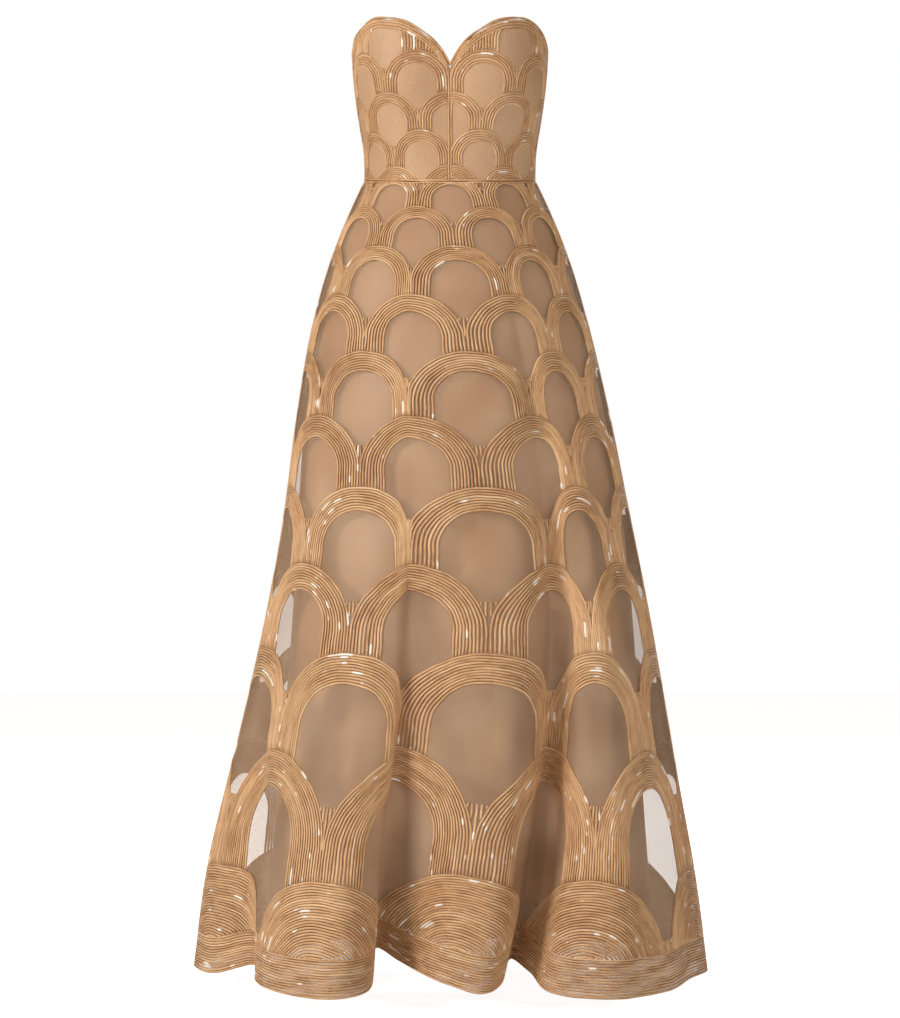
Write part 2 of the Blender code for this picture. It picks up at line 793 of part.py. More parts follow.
def gap_turn(point, turn, level):
    """Half a seam gap as a turn at one place."""
    step = np.linalg.norm(point(turn + 1e-3, level) - point(turn - 1e-3, level)) / 2e-3
    return 0.5 * SEAM_GAP / float(step)


def build_skirt():
    cuts = (("skirt_front", -0.25, 0.25), ("skirt_back_right", 0.25, 0.5), ("skirt_back_left", 0.5, 0.75))
    gap = max(gap_turn(skirt_point, turn, 0.0) for turn in (0.25, 0.5, 0.75))
    for name, first, last in cuts:
        wall_panel(name, skirt_panel_plan(first + gap, last - gap), "corded_net")


def build_bodice():
    cuts = (
        ("bodice_front_right", 0.0, 0.25),
        ("bodice_back_right", 0.25, 0.5),
        ("bodice_back_left", 0.5, 0.75),
        ("bodice_front_left", 0.75, 1.0),
    )
    gap = max(gap_turn(bodice_point, turn, 0.0) for turn in (0.0, 0.25, 0.5))
    for name, first, last in cuts:
        wall_panel(name, bodice_panel_plan(first + gap, last - gap), "bodice_cloth")


def build_lining():
    gap = gap_turn(lining_point, 0.25, 0.0)
    levels = np.linspace(0.004, LINING_LENGTH / SKIRT_LENGTH, 8)
    for name, first, last in (("lining_front", -0.25, 0.25), ("lining_back", 0.25, 0.75)):
        turns = np.linspace(first + gap, last - gap, 25)
        sheet_panel(name, lining_point, turns, levels, LINING_WALL, "lining_cloth")


def build_cords():
    turns = np.linspace(0, 1, 73)[:-1]
    heights = neck_height(turns)
    normals = surface_normals(bodice_point, turns, heights, 1e-4)
    edge = bodice_point(turns, heights)
    before = np.cross(edge - np.roll(edge, 1, axis=0), normals)
    after = np.cross(np.roll(edge, -1, axis=0) - edge, normals)
    before = before / np.linalg.norm(before, axis=1)[:, None]
    after = after / np.linalg.norm(after, axis=1)[:, None]
    above = before + after
    above = -above / np.linalg.norm(above, axis=1)[:, None]
    reach = (NECK_CORD_RADIUS + 3 * SEAM_GAP) / np.abs(np.sum(above * after, axis=1))
    centres = edge + normals * 0.5 * BODICE_WALL + above * reach[:, None]
    ring_tube("neckline_cord", centres, normals, NECK_CORD_RADIUS, 5, "cord")
    turns = np.linspace(0, 1, 41)[:-1]
    normals = surface_normals(bodice_point, turns, waist_height(turns), 1e-4)
    lift = BODICE_WALL + CORD_RISE + 3 * SEAM_GAP + WAIST_CORD_RADIUS
    centres = bodice_point(turns, waist_height(turns)) + normals * lift
    centres = centres + np.array([0, 0, WAIST_CORD_RAISE])
    ring_tube("waist_cord", centres, normals, WAIST_CORD_RADIUS, 5, "cord")


def zip_point(turn, height):
    """The zip tape just inside the centre back, at a height above the origin."""
    turn, height = np.broadcast_arrays(np.asarray(turn, float), np.asarray(height, float))
    upper = bodice_point(turn, np.maximum(height, -0.01))
    down = np.clip((waist_height(0.5) - height) / SKIRT_LENGTH, 0, 1)
    lower = skirt_point(turn, down)
    place = np.where((height > waist_height(0.5))[..., None], upper, lower)
    place = np.array(place)
    place[..., 1] = place[..., 1] - ZIP_WALL - ZIP_CLEARANCE
    place[..., 2] = height
    return place


def build_zip():
    step = ZIP_HALF_WIDTH / 0.65
    turns = np.linspace(0.5 - step, 0.5 + step, 4)
    sheet_panel("back_zip", zip_point, turns, np.array(ZIP_HEIGHTS), ZIP_WALL, "zip_tape")


def build():
    for old in list(bpy.data.objects):
        bpy.data.objects.remove(old, do_unlink=True)
    build_bodice()
    build_skirt()
    build_lining()
    build_cords()
    build_zip()


build()
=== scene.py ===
import bmesh
import bpy
import numpy as np
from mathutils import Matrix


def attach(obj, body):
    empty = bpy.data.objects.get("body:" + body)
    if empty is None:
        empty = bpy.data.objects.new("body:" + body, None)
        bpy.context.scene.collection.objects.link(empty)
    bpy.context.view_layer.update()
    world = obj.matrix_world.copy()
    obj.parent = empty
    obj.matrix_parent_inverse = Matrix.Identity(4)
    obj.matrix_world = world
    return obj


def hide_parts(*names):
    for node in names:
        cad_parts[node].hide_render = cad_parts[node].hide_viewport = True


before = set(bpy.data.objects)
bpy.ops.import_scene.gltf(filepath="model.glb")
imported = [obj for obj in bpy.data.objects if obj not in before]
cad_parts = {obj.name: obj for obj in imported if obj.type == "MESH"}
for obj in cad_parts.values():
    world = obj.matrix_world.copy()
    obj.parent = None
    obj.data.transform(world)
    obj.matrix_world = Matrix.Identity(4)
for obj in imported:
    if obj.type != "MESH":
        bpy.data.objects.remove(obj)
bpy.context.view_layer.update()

# Sizes and tables of the garment's form, the same as in the part's source, in metres
SEAM_GAP = 0.0003
SKIRT_LENGTH = 1.077
SKIRT_WALL = 0.0013
BODICE_WALL = 0.0014
CORD_RISE = 0.0015
LINING_WALL = 0.0010
LINING_LENGTH = 0.988
LINING_FOLLOW = 0.70
LINING_SHIFT = 0.016
SKIRT_SWAY = 0.0105
SWAY_START = 0.12
SWAY_END = 0.92
HEM_BAND = 0.050
NECK_BAND = 0.012
WAIST_BAND = 0.0035
SEAM_BAND = 0.0030
SMALLEST_SHARE = 0.30
LEVEL_SEAM = 0.020
WAIST_DIP = 0.010
WAIST_LEVEL = -0.003
NECK_CORD_RADIUS = 0.0024
WAIST_CORD_RAISE = 0.0014
ZIP_HALF_WIDTH = 0.012
ZIP_WALL = 0.0010
ZIP_CLEARANCE = 0.0019

COLUMNS = 9
ROW_PITCH = 0.65
ROW_START = 0.36
OUTER_RING = 0.50
INNER_RING = 0.29
CUSP_HALF = 0.05

# How far to either side a surface is read to find its direction, in turns or levels
PROBE = 1e-4

# Sizes of what lies on the form
NET_RISE = 0.0007
CORD_BASE = 0.0008
CORD_PITCH_TOP = 0.0033
CORD_PITCH_HEM = 0.0041
CORD_FILL = 0.94
CORD_WANDER = 0.00022
END_TUCK = 0.0006
CORD_LANE = 0.05
MID_LANE = 0.0016
CORD_STEP = 0.0020
CORD_TWIST = 0.12
MITRE_LEAST = 0.80
BAND_CORD_PITCH = 0.0036
WAIST_EDGE_RADIUS = 0.0011
BODICE_LOW = -0.015
BODICE_HIGH = 0.225
BODICE_RISE = BODICE_WALL - 0.0002
BODICE_CLOTH = BODICE_WALL - 0.0003
LINING_TOP = 0.004
LINING_RISE = LINING_WALL - 0.0001
LINING_CLOTH = LINING_WALL - 0.0002
LINING_HEM = 0.020
WAIST_ROUND = 0.65
ZIP_TOP = 0.139
ZIP_FOOT = -0.160
ZIP_TAPE_WALL = 0.0008
ZIP_COIL_RADIUS = 0.0008
ZIP_COIL_PITCH = 0.0016
ZIP_COIL_SIDES = 8
ZIP_WIRE_RADIUS = 0.00025
ZIP_COIL_END = 0.001

# Threads of the cloths, in metres
NET_THREAD = 0.0016
CORD_PLY = 0.0022
STITCH_LENGTH = 0.0036
STITCH_HALF_WIDTH = 0.0007

# The studio: distances in metres, pixels as in the photo
CAMERA_DISTANCE = 5.0
CAMERA_HEIGHT = -0.4516
SENSOR_WIDTH = 36.0
PICTURE_HEIGHT = 1018.0
PIXELS_PER_METRE = 733.0
FLOOR_LEVEL = -1.100
FLOOR_REACH = 8.0
WORLD_LIGHT = 0.09
FLOOR_GLOW = 0.90
FLOOR_BOUNCE = 0.10

# drop below the waist, half width, front depth, back depth
SKIRT_SECTIONS = np.array([
    (0.000, 0.1135, 0.0900, 0.0880),
    (0.030, 0.1278, 0.1040, 0.1060),
    (0.071, 0.1455, 0.1210, 0.1280),
    (0.112, 0.1608, 0.1370, 0.1450),
    (0.194, 0.1845, 0.1620, 0.1710),
    (0.316, 0.2100, 0.1900, 0.1980),
    (0.440, 0.2305, 0.2130, 0.2210),
    (0.600, 0.2600, 0.2430, 0.2500),
    (0.800, 0.3005, 0.2800, 0.2870),
    (0.950, 0.3310, 0.3080, 0.3150),
    (1.077, 0.3475, 0.3300, 0.3350),
])

# drop below the waist, half width, front depth, back depth
LINING_SECTIONS = np.array([
    (0.000, 0.1115, 0.0880, 0.0828),
    (0.071, 0.1410, 0.1160, 0.1215),
    (0.194, 0.1785, 0.1560, 0.1640),
    (0.316, 0.2020, 0.1810, 0.1890),
    (0.440, 0.2180, 0.1970, 0.2050),
    (0.600, 0.2310, 0.2020, 0.2110),
    (0.760, 0.2420, 0.2020, 0.2120),
    (0.988, 0.2600, 0.1980, 0.2100),
])

# height above the waist, half width, front depth, back depth
BODICE_SECTIONS = np.array([
    (-0.020, 0.1135, 0.0895, 0.0880),
    (0.000, 0.1137, 0.0905, 0.0880),
    (0.035, 0.1150, 0.0940, 0.0885),
    (0.070, 0.1203, 0.0990, 0.0910),
    (0.100, 0.1246, 0.1035, 0.0940),
    (0.140, 0.1288, 0.1070, 0.0975),
    (0.175, 0.1308, 0.1060, 0.1000),
    (0.230, 0.1310, 0.1010, 0.1010),
])

# turn from the centre front, height of the neckline above the waist
NECKLINE = np.array([
    (0.000, 0.1372),
    (0.007, 0.1470),
    (0.020, 0.1635),
    (0.032, 0.1750),
    (0.045, 0.1840),
    (0.058, 0.1905),
    (0.071, 0.1965),
    (0.085, 0.2005),
    (0.099, 0.2030),
    (0.115, 0.2045),
    (0.133, 0.2040),
    (0.153, 0.1995),
    (0.182, 0.1895),
    (0.217, 0.1775),
    (0.250, 0.1640),
    (0.300, 0.1530),
    (0.400, 0.1460),
    (0.500, 0.1440),
])

# turn, height, bulge outward, reach in turns, reach up, reach down
CUPS = np.array([
    (0.118, 0.128, 0.0200, 0.058, 0.070, 0.052),
    (0.000, 0.135, -0.0050, 0.024, 0.060, 0.050),
])

# hem plan x, hem plan y, lift of the hem, where the fold starts down the skirt, lean sideways
HEM_FOLDS = np.array([
    (0.000, -0.300, 0.014, 0.30, 0.16),
    (0.034, -0.306, 0.004, 0.30, 0.19),
    (0.062, -0.262, 0.008, 0.25, 0.22),
    (0.080, -0.195, 0.036, 0.12, 0.23),
    (0.104, -0.225, 0.022, 0.12, 0.22),
    (0.128, -0.292, 0.004, 0.15, 0.18),
    (0.195, -0.332, 0.000, 0.20, 0.12),
    (0.270, -0.272, 0.000, 0.20, 0.05),
    (0.318, -0.150, 0.004, 0.20, 0.00),
    (0.347, -0.030, 0.000, 0.20, 0.00),
    (0.328, 0.075, 0.004, 0.20, 0.00),
    (0.250, 0.118, 0.022, 0.25, 0.00),
    (0.262, 0.215, 0.006, 0.25, 0.00),
    (0.218, 0.296, 0.000, 0.30, 0.00),
    (0.150, 0.285, 0.010, 0.30, 0.00),
    (0.115, 0.208, 0.030, 0.22, 0.00),
    (0.082, 0.290, 0.006, 0.22, 0.00),
    (0.020, 0.335, 0.000, 0.30, 0.00),
    (-0.040, 0.280, 0.014, 0.30, 0.00),
    (-0.072, 0.205, 0.030, 0.20, 0.00),
    (-0.100, 0.275, 0.006, 0.20, 0.00),
    (-0.162, 0.322, 0.000, 0.30, 0.00),
    (-0.225, 0.260, 0.006, 0.30, 0.00),
    (-0.214, 0.178, 0.026, 0.24, 0.00),
    (-0.282, 0.158, 0.008, 0.24, 0.00),
    (-0.335, 0.070, 0.000, 0.20, 0.00),
    (-0.346, -0.010, 0.002, 0.20, 0.00),
    (-0.318, -0.066, 0.000, 0.35, 0.00),
    (-0.264, -0.102, 0.016, 0.40, 0.00),
    (-0.252, -0.190, 0.004, 0.40, 0.00),
    (-0.208, -0.285, 0.000, 0.35, 0.02),
    (-0.145, -0.330, 0.000, 0.30, 0.05),
    (-0.106, -0.285, 0.006, 0.30, 0.08),
    (-0.097, -0.205, 0.052, 0.30, 0.10),
    (-0.060, -0.232, 0.034, 0.30, 0.12),
])


def smooth_column(rows, column, value):
    """A smooth curve through one column of a table, read at the given values."""
    knots = rows[:, 0]
    levels = rows[:, column]
    slopes = np.gradient(levels, knots)
    value = np.clip(value, knots[0], knots[-1])
    low = np.clip(np.searchsorted(knots, value) - 1, 0, len(knots) - 2)
    span = knots[low + 1] - knots[low]
    s = (value - knots[low]) / span
    start = (1 + 2 * s) * (1 - s) ** 2 * levels[low] + s * (1 - s) ** 2 * span * slopes[low]
    finish = s * s * (3 - 2 * s) * levels[low + 1] + s * s * (s - 1) * span * slopes[low + 1]
    return start + finish


def closed_curve(rows, steps=40):
    """A smooth closed curve through the rows, each column carried along."""
    chord = np.linalg.norm(np.roll(rows, -1, axis=0)[:, :2] - rows[:, :2], axis=1)
    before = np.roll(chord, 1)
    slope_in = (rows - np.roll(rows, 1, axis=0)) / before[:, None]
    slope_out = (np.roll(rows, -1, axis=0) - rows) / chord[:, None]
    slope = (slope_in * chord[:, None] + slope_out * before[:, None]) / (before + chord)[:, None]
    s = np.linspace(0, 1, steps, endpoint=False)[:, None]
    pieces = []
    for index in range(len(rows)):
        after = (index + 1) % len(rows)
        span = chord[index]
        piece = (1 + 2 * s) * (1 - s) ** 2 * rows[index]
        piece = piece + s * (1 - s) ** 2 * span * slope[index]
        piece = piece + s * s * (3 - 2 * s) * rows[after]
        piece = piece + s * s * (s - 1) * span * slope[after]
        pieces.append(piece)
    return np.vstack(pieces + [rows[:1]])


def fold_table(rows, sections, samples=1440):
    """The folds at even steps along the hem: angle, reach, lift, start and lean."""
    line = closed_curve(rows)
    steps = np.linalg.norm(np.diff(line[:, :2], axis=0), axis=1)
    along = np.concatenate([[0.0], np.cumsum(steps)])
    places = np.linspace(0, along[-1], samples + 1)
    line = np.stack([np.interp(places, along, column) for column in line.T], axis=1)
    depth = np.where(line[:, 1] < 0, sections[-1, 2], sections[-1, 3])
    across = line[:, 0] / sections[-1, 1]
    forward = -line[:, 1] / depth
    return {
        "turns": np.linspace(0, 1, samples + 1),
        "angle": np.unwrap(np.arctan2(across, forward)),
        "reach": np.hypot(across, forward),
        "lift": line[:, 2],
        "start": line[:, 3],
        "lean": line[:, 4],
    }


FOLDS = fold_table(HEM_FOLDS, SKIRT_SECTIONS)


def fold_value(name, turn):
    return np.interp(np.mod(turn, 1.0), FOLDS["turns"], FOLDS[name])


def waist_height(turn):
    return WAIST_LEVEL - WAIST_DIP * np.cos(2 * np.pi * turn)


def skirt_surface(turn, down, sections, follow=1.0, shift=0.0):
    """Points of a skirt layer: down is 0 at the waist and 1 at the outer hem."""
    turn, down = np.broadcast_arrays(np.asarray(turn, float), np.asarray(down, float))
    plain = 2 * np.pi * np.mod(turn, 1.0)
    angle = plain + (fold_value("angle", turn) - plain) * down ** 1.1
    angle = angle + fold_value("lean", turn) * 4 * down * (1 - down)
    start = fold_value("start", turn)
    grown = np.clip((down - start) / (1 - start), 0, 1) ** 1.25
    reach = 1 + (fold_value("reach", turn) - 1) * grown * follow
    drop = down * SKIRT_LENGTH
    half = smooth_column(sections, 1, drop)
    front = smooth_column(sections, 2, drop)
    back = smooth_column(sections, 3, drop)
    ahead = np.cos(angle)
    deep = np.where(ahead > 0, front, back)
    swayed = np.clip((down - SWAY_START) / (SWAY_END - SWAY_START), 0, 1)
    x = reach * half * np.sin(angle) + shift * down ** 1.5
    x = x + SKIRT_SWAY * np.sin(np.pi * swayed) ** 2
    y = -reach * deep * ahead
    z = waist_height(turn) * (1 - down) - drop
    z = z + fold_value("lift", turn) * down ** 4
    return np.stack([x, y, z], axis=-1)


def skirt_point(turn, down):
    return skirt_surface(turn, down, SKIRT_SECTIONS)


def lining_point(turn, down):
    return skirt_surface(turn, down, LINING_SECTIONS, LINING_FOLLOW, LINING_SHIFT)


def side_turn(turn):
    """Turn counted from the centre front to either side, 0 to 0.5."""
    turn = np.mod(turn, 1.0)
    return np.minimum(turn, 1.0 - turn)


def neck_height(turn):
    return smooth_column(NECKLINE, 1, side_turn(turn))


def bodice_point(turn, height):
    """Points of the bodice at a height above the origin."""
    turn, height = np.broadcast_arrays(np.asarray(turn, float), np.asarray(height, float))
    angle = 2 * np.pi * turn
    half = smooth_column(BODICE_SECTIONS, 1, height)
    front = smooth_column(BODICE_SECTIONS, 2, height)
    back = smooth_column(BODICE_SECTIONS, 3, height)
    deep = np.where(np.cos(angle) > 0, front, back)
    bulge = np.zeros_like(height)
    aside = side_turn(turn)
    for place, level, rise, reach, reach_up, reach_down in CUPS:
        spread = np.where(height > level, reach_up, reach_down)
        across = ((aside - place) / reach) ** 2
        upward = ((height - level) / spread) ** 2
        bulge = bulge + rise * np.exp(-0.5 * (across + upward))
    x = (half + 0.45 * bulge) * np.sin(angle)
    y = -(deep + bulge) * np.cos(angle)
    return np.stack([x, y, height], axis=-1)


def level_map(point, low, high, sign):
    """Levels of a tube and the matching pattern rows, so that shells keep their shape."""
    levels = np.linspace(low, high, 121)
    turns = np.linspace(0, 1, 721)
    grid = point(turns[None, :], levels[:, None])
    girth = np.linalg.norm(np.diff(grid, axis=1), axis=2).sum(axis=1)
    length = np.linalg.norm(np.diff(grid, axis=0), axis=2).mean(axis=1)
    middle = (girth[1:] + girth[:-1]) / 2
    row = sign * np.concatenate([[0.0], np.cumsum(length * COLUMNS / middle)])
    run = sign * np.concatenate([[0.0], np.cumsum(length)])
    return {"level": levels, "row": row, "girth": girth, "run": run}


SKIRT_MAP = level_map(skirt_point, 0.0, 1.0, 1.0)
BODICE_MAP = level_map(bodice_point, BODICE_LOW, BODICE_HIGH, -1.0)
BODICE_MAP["row"] = BODICE_MAP["row"] - np.interp(0.0, BODICE_MAP["level"], BODICE_MAP["row"])
LINING_MAP = level_map(lining_point, 0.0, LINING_LENGTH / SKIRT_LENGTH, 1.0)


def row_of(table, level):
    return np.interp(level, table["level"], table["row"])


def by_row(table, name, row):
    """A value of the map at a pattern row."""
    order = np.argsort(table["row"])
    return np.interp(row, table["row"][order], table[name][order])


def cell_size(table, row):
    """Metres to one column of the pattern at a row."""
    return by_row(table, "girth", row) / COLUMNS


def surface_normals(point, turn, level):
    """Outward directions of a tube at the given places."""
    along = point(turn + PROBE, level) - point(turn - PROBE, level)
    down = point(turn, level + PROBE) - point(turn, level - PROBE)
    normal = np.cross(along, down)
    normal = normal / np.linalg.norm(normal, axis=1)[:, None]
    outward = np.sum(normal[:, :2] * point(turn, level)[:, :2], axis=1)
    return normal * np.where(np.median(outward) > 0, 1.0, -1.0)


def lay(panel, a, b):
    """Points on the panel's inner surface and its outward directions at pattern places."""
    table = panel["map"]
    turn = a / COLUMNS
    level = by_row(table, "level", b)
    low = table["level"].min() + 2 * PROBE
    high = table["level"].max() - 2 * PROBE
    normals = surface_normals(panel["point"], turn, np.clip(level, low, high))
    if panel["waist"] is not None:
        waist_row = row_of(table, panel["waist"](turn))
        from_waist = np.abs(b - waist_row) * cell_size(table, b)
        normals[:, 2] = normals[:, 2] * np.clip(from_waist / LEVEL_SEAM, 0, 1)
    surface = panel["point"](turn, level)
    normals[:, 0] = normals[:, 0] * np.clip(np.abs(surface[:, 0]) / panel["crease"], 0, 1)
    normals = normals / np.linalg.norm(normals, axis=1)[:, None]
    return surface, normals


def skirt_plan(first, last):
    """A skirt panel between two turns, from the waist to the hem."""
    table = SKIRT_MAP
    foot = float(row_of(table, 1.0))
    return {
        "map": table,
        "point": skirt_point,
        "waist": np.zeros_like,
        "crease": 1e-6,
        "wall": SKIRT_WALL,
        "columns": (first * COLUMNS, last * COLUMNS),
        "rows": (0.0, foot),
        "top": np.zeros_like,
        "foot": lambda a: np.full_like(a, foot),
        "top_band": WAIST_BAND,
        "foot_band": HEM_BAND,
        "grow": 1.0,
    }


def bodice_plan(first, last):
    """A bodice panel between two turns, from the neckline to the waist seam."""
    table = BODICE_MAP
    return {
        "map": table,
        "point": bodice_point,
        "waist": waist_height,
        "crease": 0.005,
        "wall": BODICE_WALL,
        "columns": (first * COLUMNS, last * COLUMNS),
        "rows": (float(row_of(table, BODICE_HIGH)), float(row_of(table, BODICE_LOW))),
        "top": lambda a: row_of(table, neck_height(a / COLUMNS)),
        "foot": lambda a: row_of(table, waist_height(a / COLUMNS) + SEAM_GAP),
        "top_band": NECK_BAND,
        "foot_band": WAIST_BAND,
        "grow": 0.0,
    }


def lining_plan(first, last):
    """A lining panel between two turns, from the waist to its own hem."""
    table = LINING_MAP
    foot = float(table["row"][-1])
    top = float(row_of(table, LINING_TOP))
    return {
        "map": table,
        "point": lining_point,
        "waist": None,
        "crease": 1e-6,
        "wall": LINING_WALL,
        "columns": (first * COLUMNS, last * COLUMNS),
        "rows": (top, foot),
        "top": lambda a: np.full_like(a, top),
        "foot": lambda a: np.full_like(a, foot),
    }


def inside_room(panel, a, b):
    """How far a pattern place lies inside the ringed part of a panel, negative outside."""
    left, right = panel["columns"]
    cell = cell_size(panel["map"], b)
    room = np.minimum(a - left, right - a) - SEAM_BAND / cell
    room = np.minimum(room, b - panel["top"](a) - panel["top_band"] / cell)
    foot = panel["foot"](a)
    band = panel["foot_band"] / cell_size(panel["map"], foot)
    return np.minimum(room, foot - b - band) + END_TUCK / cell


# Pattern rows of cord

def window_outline(count=48):
    """One bare window of the shell pattern: round above, drawn in between the two shells below."""
    arch = np.linspace(0, np.pi, count // 2)
    first = np.arccos((OUTER_RING - INNER_RING) / OUTER_RING)
    last = np.arccos((OUTER_RING - CUSP_HALF) / OUTER_RING)
    swing = np.linspace(first, last, count // 4)
    left_x = -OUTER_RING + OUTER_RING * np.cos(swing)
    left_y = ROW_PITCH - OUTER_RING * np.sin(swing)
    x = np.concatenate([INNER_RING * np.cos(arch), left_x, -left_x[::-1]])
    y = np.concatenate([-INNER_RING * np.sin(arch), left_y, left_y[::-1]])
    return x, y


def window_share(panel, column, row):
    """The part of a window that lies inside the ringed part of a panel."""
    x, y = window_outline()
    across = np.linspace(x.min(), x.max(), 25)
    upward = np.linspace(y.min(), y.max(), 31)
    grid_x, grid_y = (values.ravel() for values in np.meshgrid(across, upward))
    inside = np.zeros(len(grid_x), bool)
    for here_x, here_y, there_x, there_y in zip(x, y, np.roll(x, -1), np.roll(y, -1)):
        crosses = (here_y > grid_y) != (there_y > grid_y)
        if here_y != there_y:
            cut = here_x + (grid_y - here_y) / (there_y - here_y) * (there_x - here_x)
            inside ^= crosses & (grid_x < cut)
    kept = inside & (inside_room(panel, column + grid_x, row + grid_y) > 0)
    return kept.sum() / max(inside.sum(), 1)


def cord_pitch(panel, row):
    """Distance from one cord to the next, wider toward the hem."""
    low, high = panel["rows"]
    share = np.clip((row - low) / (high - low), 0, 1) * panel["grow"]
    return CORD_PITCH_TOP + (CORD_PITCH_HEM - CORD_PITCH_TOP) * share


def leg_end(reach):
    """How far below its centre a ring's leg meets the shell underneath."""
    return ROW_PITCH - np.sqrt(OUTER_RING ** 2 - (OUTER_RING - reach) ** 2)


def ring_path(column, row, reach, step):
    """One cord of a shell: up the left leg, over the arch and down the right leg."""
    foot = leg_end(reach)
    leg = np.linspace(foot, 0, max(2, int(np.ceil(foot / step))), endpoint=False)
    arch = np.linspace(np.pi, 0, max(7, int(np.ceil(np.pi * reach / step)) + 1))
    x = np.concatenate([np.full(len(leg), -reach), reach * np.cos(arch), np.full(len(leg), reach)])
    y = np.concatenate([leg, -reach * np.sin(arch), leg[::-1]])
    return column + x, row + y


def clip_path(panel, a, b):
    """The stretches of a path that lie inside the ringed part of a panel."""
    room = inside_room(panel, a, b)
    runs = []
    run = []
    for k in range(len(a)):
        if k and (room[k] >= 0) != (room[k - 1] >= 0):
            share = room[k - 1] / (room[k - 1] - room[k])
            run.append((a[k - 1] + (a[k] - a[k - 1]) * share, b[k - 1] + (b[k] - b[k - 1]) * share))
            if room[k] < 0:
                runs.append(run)
                run = []
        if room[k] >= 0:
            run.append((a[k], b[k]))
    runs.append(run)
    return [np.array(run) for run in runs if len(run) > 2]


def shell_cords(panel, segment):
    """The cords of every shell of a panel: places and half widths."""
    left, right = panel["columns"]
    low, high = panel["rows"]
    cords = []
    for step in range(-9, 12):
        row = ROW_START + ROW_PITCH * step
        if not low - 0.7 < row < high + 0.7:
            continue
        cell = float(cell_size(panel["map"], row))
        pitch = float(cord_pitch(panel, row))
        count = max(2, int(round((OUTER_RING - INNER_RING) * cell / pitch)))
        gap = (OUTER_RING - INNER_RING) / count
        length = segment(cell) / cell
        for column in np.arange(-6, 12) + 0.5 * (step % 2):
            if not left - 0.5 < column < right + 0.5:
                continue
            reaches = list(OUTER_RING - gap * (np.arange(count) + 0.5))
            if window_share(panel, column, row) < SMALLEST_SHARE:
                reaches += list(np.arange(INNER_RING - gap / 2, gap / 2, -gap))
            paths = [ring_path(column, row, reach, length) for reach in reaches]
            cusp_count = max(1, int(round(2 * CUSP_HALF * cell / pitch)))
            for k in range(cusp_count):
                x = CUSP_HALF * (2 * (k + 0.5) / cusp_count - 1)
                end = leg_end(abs(x))
                start = leg_end(CUSP_HALF)
                y = np.linspace(start, end, max(3, int((end - start) / length) + 1))
                paths.append((np.full(len(y), column + x), row + y))
            for a, b in paths:
                for run in clip_path(panel, a, b):
                    cords.append((run[:, 0], run[:, 1], gap * cell / 2))
    return cords


def band_cords(panel, segment):
    """The cords that run along a panel's top edge, its foot and its side seams."""
    left, right = panel["columns"]
    table = panel["map"]
    cords = []
    top_cell = float(cell_size(table, panel["top"](np.array([left]))[0]))
    foot_cell = float(cell_size(table, panel["foot"](np.array([left]))[0]))
    for name, band, cell, sign in (
        ("top", panel["top_band"], top_cell, 1),
        ("foot", panel["foot_band"], foot_cell, -1),
    ):
        count = max(1, int(round(band / BAND_CORD_PITCH)))
        places = int((right - left) * cell / segment(cell))
        for k in range(count):
            offset = (k + 0.5) * band / count
            a = np.linspace(left, right, places)
            a = np.clip(a, left + SEAM_BAND / cell, right - SEAM_BAND / cell)
            a = np.unique(a)
            b = panel[name](a) + sign * offset / cell_size(table, panel[name](a))
            cords.append((a, b, band / count / 2))
    for side, sign in ((left, 1), (right, -1)):
        edge = np.array([side])
        rows = np.linspace(float(panel["top"](edge)[0]), float(panel["foot"](edge)[0]), 400)
        length = (rows[-1] - rows[0]) * float(cell_size(table, rows.mean()))
        rows = np.linspace(rows[0], rows[-1], int(length / segment(cell_size(table, rows.mean()))))
        cords.append((side + sign * SEAM_BAND / 2 / cell_size(table, rows), rows, SEAM_BAND / 2))
    return cords


# Mesh tools

def to_object(name, bm, smooth=False):
    for face in bm.faces:
        face.smooth = smooth
    mesh = bpy.data.meshes.new(name)
    bm.to_mesh(mesh)
    bm.free()
    piece = bpy.data.objects.new(name, mesh)
    bpy.context.scene.collection.objects.link(piece)
    return piece


def grid_mesh(across, along):
    """A plain grid from the grid operator, with the column and row of each of its points."""
    bm = bmesh.new()
    bm.loops.layers.uv.new("UVMap")
    bmesh.ops.create_grid(bm, x_segments=across - 1, y_segments=along - 1, size=1.0, calc_uvs=True)
    mesh = bpy.data.meshes.new("grid")
    bm.to_mesh(mesh)
    bm.free()
    flat = np.empty(len(mesh.vertices) * 3)
    mesh.vertices.foreach_get("co", flat)
    flat = flat.reshape(-1, 3)
    column = np.rint((flat[:, 0] + 1) / 2 * (across - 1)).astype(int)
    row = np.rint((flat[:, 1] + 1) / 2 * (along - 1)).astype(int)
    return mesh, column, row


def set_places(mesh, points, uv):
    """Puts the points of a mesh in place and gives each its UV in metres."""
    mesh.vertices.foreach_set("co", points.ravel())
    corner = np.empty(len(mesh.loops), dtype=np.int32)
    mesh.loops.foreach_get("vertex_index", corner)
    mesh.uv_layers[0].data.foreach_set("uv", uv[corner].ravel())
    mesh.update()


def take_mesh(mesh):
    """Moves a mesh into a bmesh."""
    bm = bmesh.new()
    bm.from_mesh(mesh)
    bpy.data.meshes.remove(mesh)
    return bm


def close_cords(bm, reach):
    """Joins the seam of each cord's tube, closes its ends and turns its faces outward."""
    bmesh.ops.remove_doubles(bm, verts=bm.verts, dist=reach)
    rims = [edge for edge in bm.edges if edge.is_boundary]
    if rims:
        bmesh.ops.holes_fill(bm, edges=rims, sides=6)
    bmesh.ops.recalc_face_normals(bm, faces=bm.faces)


def face_outward(bm):
    """Turns the faces of an open sheet so that they look away from the body's axis."""
    bm.normal_update()
    total = 0.0
    for face in bm.faces:
        centre = face.calc_center_median()
        total += face.calc_area() * (face.normal.x * centre.x + face.normal.y * centre.y)
    if total < 0:
        bmesh.ops.reverse_faces(bm, faces=bm.faces)


